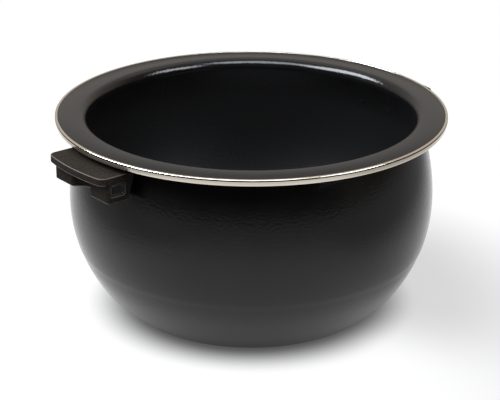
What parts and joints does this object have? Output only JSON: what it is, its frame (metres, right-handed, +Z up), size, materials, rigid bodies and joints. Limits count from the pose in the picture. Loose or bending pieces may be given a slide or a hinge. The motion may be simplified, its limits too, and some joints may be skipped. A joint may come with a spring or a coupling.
{
  "type": "multicooker inner bowl",
  "caption": "Round-bellied non-stick cooking bowl of a multicooker, with a wide rim, a bright rim ring and side grips that unclip by push buttons.",
  "frame": {"origin": "middle of the bowl's flat base", "axes": "+Z up out of the bowl; X runs through both grips, the left grip at -X; -Y is the front"},
  "size_m": [0.2822, 0.256, 0.135],
  "materials": {
    "nonstick_coating": "satin black non-stick coating with a fine orange-peel texture on cast aluminium",
    "bright_steel": "bright turned metal",
    "cover_plastic": "black moulded plastic with a fine grain",
    "core_plastic": "black moulded plastic, matt",
    "button_plastic": "black moulded plastic, smooth satin",
    "zinc_steel": "zinc-plated steel"
  },
  "bodies": {
    "bowl": {"bowl_shell": "nonstick_coating", "rim_ring": "bright_steel", "left_anchor_plate": "zinc_steel", "left_grip_core": "core_plastic", "left_grip_cover": "cover_plastic", "left_anchor_screw_front": "zinc_steel", "left_anchor_screw_back": "zinc_steel", "left_cover_screw_front": "zinc_steel", "left_cover_screw_back": "zinc_steel", "left_button_spring_front": "zinc_steel", "left_button_spring_back": "zinc_steel", "right_anchor_plate": "zinc_steel", "right_grip_core": "core_plastic", "right_grip_cover": "cover_plastic", "right_anchor_screw_front": "zinc_steel", "right_anchor_screw_back": "zinc_steel", "right_cover_screw_front": "zinc_steel", "right_cover_screw_back": "zinc_steel", "right_button_spring_front": "zinc_steel", "right_button_spring_back": "zinc_steel"},
    "left_front_button": {"left_release_button_front": "button_plastic"},
    "left_back_button": {"left_release_button_back": "button_plastic"},
    "right_front_button": {"right_release_button_front": "button_plastic"},
    "right_back_button": {"right_release_button_back": "button_plastic"}
  },
  "joints": [
    {"name": "left_front_press", "type": "slide", "parent": "bowl", "child": "left_front_button", "axis": [0, 1, 0], "range_m": [0, 0.0025], "stiffness_N_per_m": 600, "springref_m": -0.002, "deforming": ["left_button_spring_front"]},
    {"name": "left_back_press", "type": "slide", "parent": "bowl", "child": "left_back_button", "axis": [0, -1, 0], "range_m": [0, 0.0025], "stiffness_N_per_m": 600, "springref_m": -0.002, "deforming": ["left_button_spring_back"]},
    {"name": "right_front_press", "type": "slide", "parent": "bowl", "child": "right_front_button", "axis": [0, 1, 0], "range_m": [0, 0.0025], "stiffness_N_per_m": 600, "springref_m": -0.002, "deforming": ["right_button_spring_front"]},
    {"name": "right_back_press", "type": "slide", "parent": "bowl", "child": "right_back_button", "axis": [0, -1, 0], "range_m": [0, 0.0025], "stiffness_N_per_m": 600, "springref_m": -0.002, "deforming": ["right_button_spring_back"]}
  ]
}
